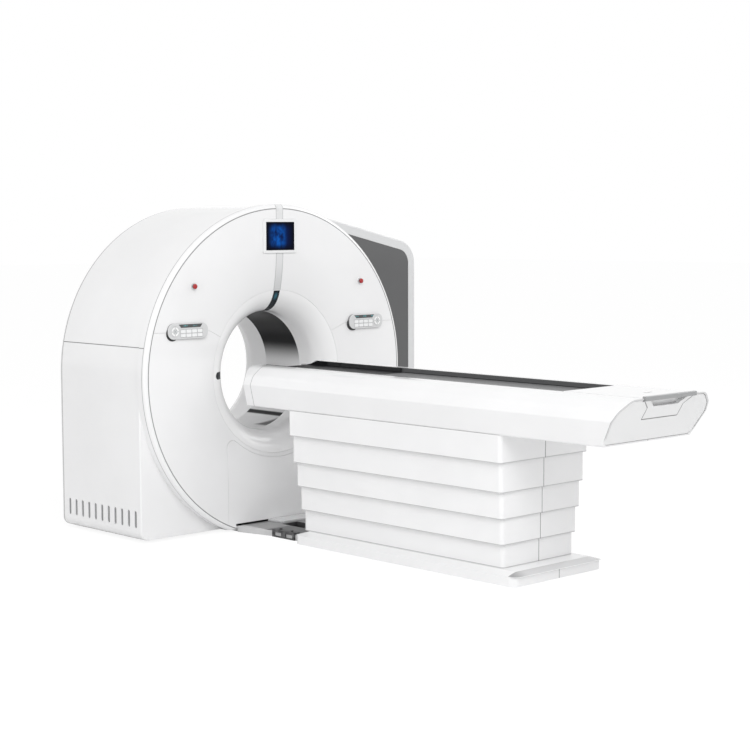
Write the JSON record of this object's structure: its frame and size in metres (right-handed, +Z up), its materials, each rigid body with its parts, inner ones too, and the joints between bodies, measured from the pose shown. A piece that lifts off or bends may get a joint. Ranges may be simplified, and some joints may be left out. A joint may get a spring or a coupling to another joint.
{
  "type": "medical ct scanner",
  "caption": "Medical CT scanner: round gantry with a tunnel bore and side wing, control keypads, and a lifting patient table with telescoping pedestal covers and a sliding cradle.",
  "frame": {"origin": "on the floor under the isocentre, in the gantry's sole face", "axes": "+Z up, +Y along the scan axis from the patient table to the rear of the gantry, +X to the right seen from the table"},
  "size_m": [2.2208, 3.73, 1.912],
  "materials": {
    "cover_white": "gloss white moulded and painted covers",
    "frame_silver": "satin light grey",
    "panel_grey": "dark grey satin panel",
    "strip_grey": "light grey",
    "window_black": "gloss black beam window",
    "laser_glass": "gloss black laser window",
    "bezel_grey": "light grey frame",
    "screen": "dark blue screen, glowing softly",
    "keypad_grey": "light grey keypad housing",
    "key_white": "white silicone keys",
    "button_grey": "pale grey button",
    "stop_red": "red button",
    "steel_frame": "grey painted steel",
    "steel_bright": "machined steel",
    "aluminium": "machined aluminium",
    "black_parts": "black",
    "belt_rubber": "black belt",
    "motor_grey": "dark grey",
    "carbon": "carbon fibre laminate with a pale rim",
    "lining": "dark grey mat",
    "handle_grey": "mid grey"
  },
  "bodies": {
    "gantry": {"gantry_base_frame": "steel_frame", "stationary_frame": "steel_frame", "bearing_outer_ring": "steel_bright", "front_cover_upper": "cover_white", "front_cover_lower": "cover_white", "front_rim": "cover_white", "front_door": "cover_white", "front_funnel": "cover_white", "scan_window": "window_black", "rear_funnel": "cover_white", "hood_cover": "cover_white", "side_cover_left": "cover_white", "side_cover_right": "cover_white", "rear_covers": "cover_white", "wing_housing": "frame_silver", "wing_panel": "panel_grey", "display_bezel": "bezel_grey", "display_screen": "screen", "centre_strip": "strip_grey", "laser_windows": "laser_glass", "keypad_housings": "keypad_grey", "key_mats": "key_white", "brush_block": "black_parts", "drive_motor": "motor_grey", "drive_belt": "belt_rubber", "docking_plate": "steel_frame", "docking_brackets": "steel_bright", "table_plinth": "steel_frame", "base_cover": "cover_white", "pedestal_tier_5": "cover_white", "column_outer_tubes": "steel_bright"},
    "rotor": {"rotor_drum": "aluminium", "bearing_inner_ring": "steel_bright", "slip_ring": "black_parts", "xray_tube": "motor_grey", "collimator": "aluminium", "detector_array": "motor_grey", "hv_generator": "motor_grey", "balance_weights": "steel_bright"},
    "motor_pulley": {"drive_pulley": "steel_bright"},
    "tier_4": {"pedestal_tier_4": "cover_white"},
    "tier_3": {"pedestal_tier_3": "cover_white"},
    "tier_2": {"pedestal_tier_2": "cover_white"},
    "column_middles": {"column_middle_tubes": "steel_bright"},
    "table": {"pedestal_tier_1": "cover_white", "table_housing": "cover_white", "table_nose_cap": "cover_white", "table_end_cap": "cover_white", "grip_plate": "cover_white", "channel_tray": "cover_white", "column_inner_tubes": "steel_bright"},
    "cradle": {"cradle_shell": "carbon", "cradle_lining": "lining", "cradle_end_stops": "handle_grey", "tail_cover": "cover_white", "tail_handle": "handle_grey"},
    "keypad_button_left": {"keypad_button_left": "button_grey"},
    "keypad_button_right": {"keypad_button_right": "button_grey"},
    "estop_left": {"estop_left": "stop_red"},
    "estop_right": {"estop_right": "stop_red"}
  },
  "joints": [
    {"name": "rotor_spin", "type": "hinge", "parent": "gantry", "child": "rotor", "pos_m": [0, 0, 0.92], "axis": [0, 1, 0], "continuous": true},
    {"name": "pulley_spin", "type": "hinge", "parent": "gantry", "child": "motor_pulley", "pos_m": [-0.872, 0, 0.125], "axis": [0, 1, 0], "continuous": true},
    {"name": "table_lift", "type": "slide", "parent": "gantry", "child": "table", "axis": [0, 0, 1], "range_m": [-0.44, 0]},
    {"name": "tier_2_slide", "type": "slide", "parent": "gantry", "child": "tier_2", "axis": [0, 0, 1], "range_m": [-0.33, 0]},
    {"name": "tier_3_slide", "type": "slide", "parent": "gantry", "child": "tier_3", "axis": [0, 0, 1], "range_m": [-0.22, 0]},
    {"name": "tier_4_slide", "type": "slide", "parent": "gantry", "child": "tier_4", "axis": [0, 0, 1], "range_m": [-0.11, 0]},
    {"name": "column_slide", "type": "slide", "parent": "gantry", "child": "column_middles", "axis": [0, 0, 1], "range_m": [-0.22, 0]},
    {"name": "cradle_slide", "type": "slide", "parent": "table", "child": "cradle", "axis": [0, 1, 0], "range_m": [0, 1.6]},
    {"name": "keypad_left_press", "type": "slide", "parent": "gantry", "child": "keypad_button_left", "axis": [0, 1, 0], "range_m": [0, 0.0015], "stiffness_N_per_m": 800, "springref_m": -0.001},
    {"name": "keypad_right_press", "type": "slide", "parent": "gantry", "child": "keypad_button_right", "axis": [0, 1, 0], "range_m": [0, 0.0015], "stiffness_N_per_m": 800, "springref_m": -0.001},
    {"name": "estop_left_press", "type": "slide", "parent": "gantry", "child": "estop_left", "axis": [0, 1, 0], "range_m": [0, 0.004]},
    {"name": "estop_right_press", "type": "slide", "parent": "gantry", "child": "estop_right", "axis": [0, 1, 0], "range_m": [0, 0.004]}
  ],
  "couplings": [
    {"joint": "pulley_spin", "follows": "rotor_spin", "ratio": 13.333},
    {"joint": "tier_2_slide", "follows": "table_lift", "ratio": 0.75},
    {"joint": "tier_3_slide", "follows": "table_lift", "ratio": 0.5},
    {"joint": "tier_4_slide", "follows": "table_lift", "ratio": 0.25},
    {"joint": "column_slide", "follows": "table_lift", "ratio": 0.5}
  ]
}
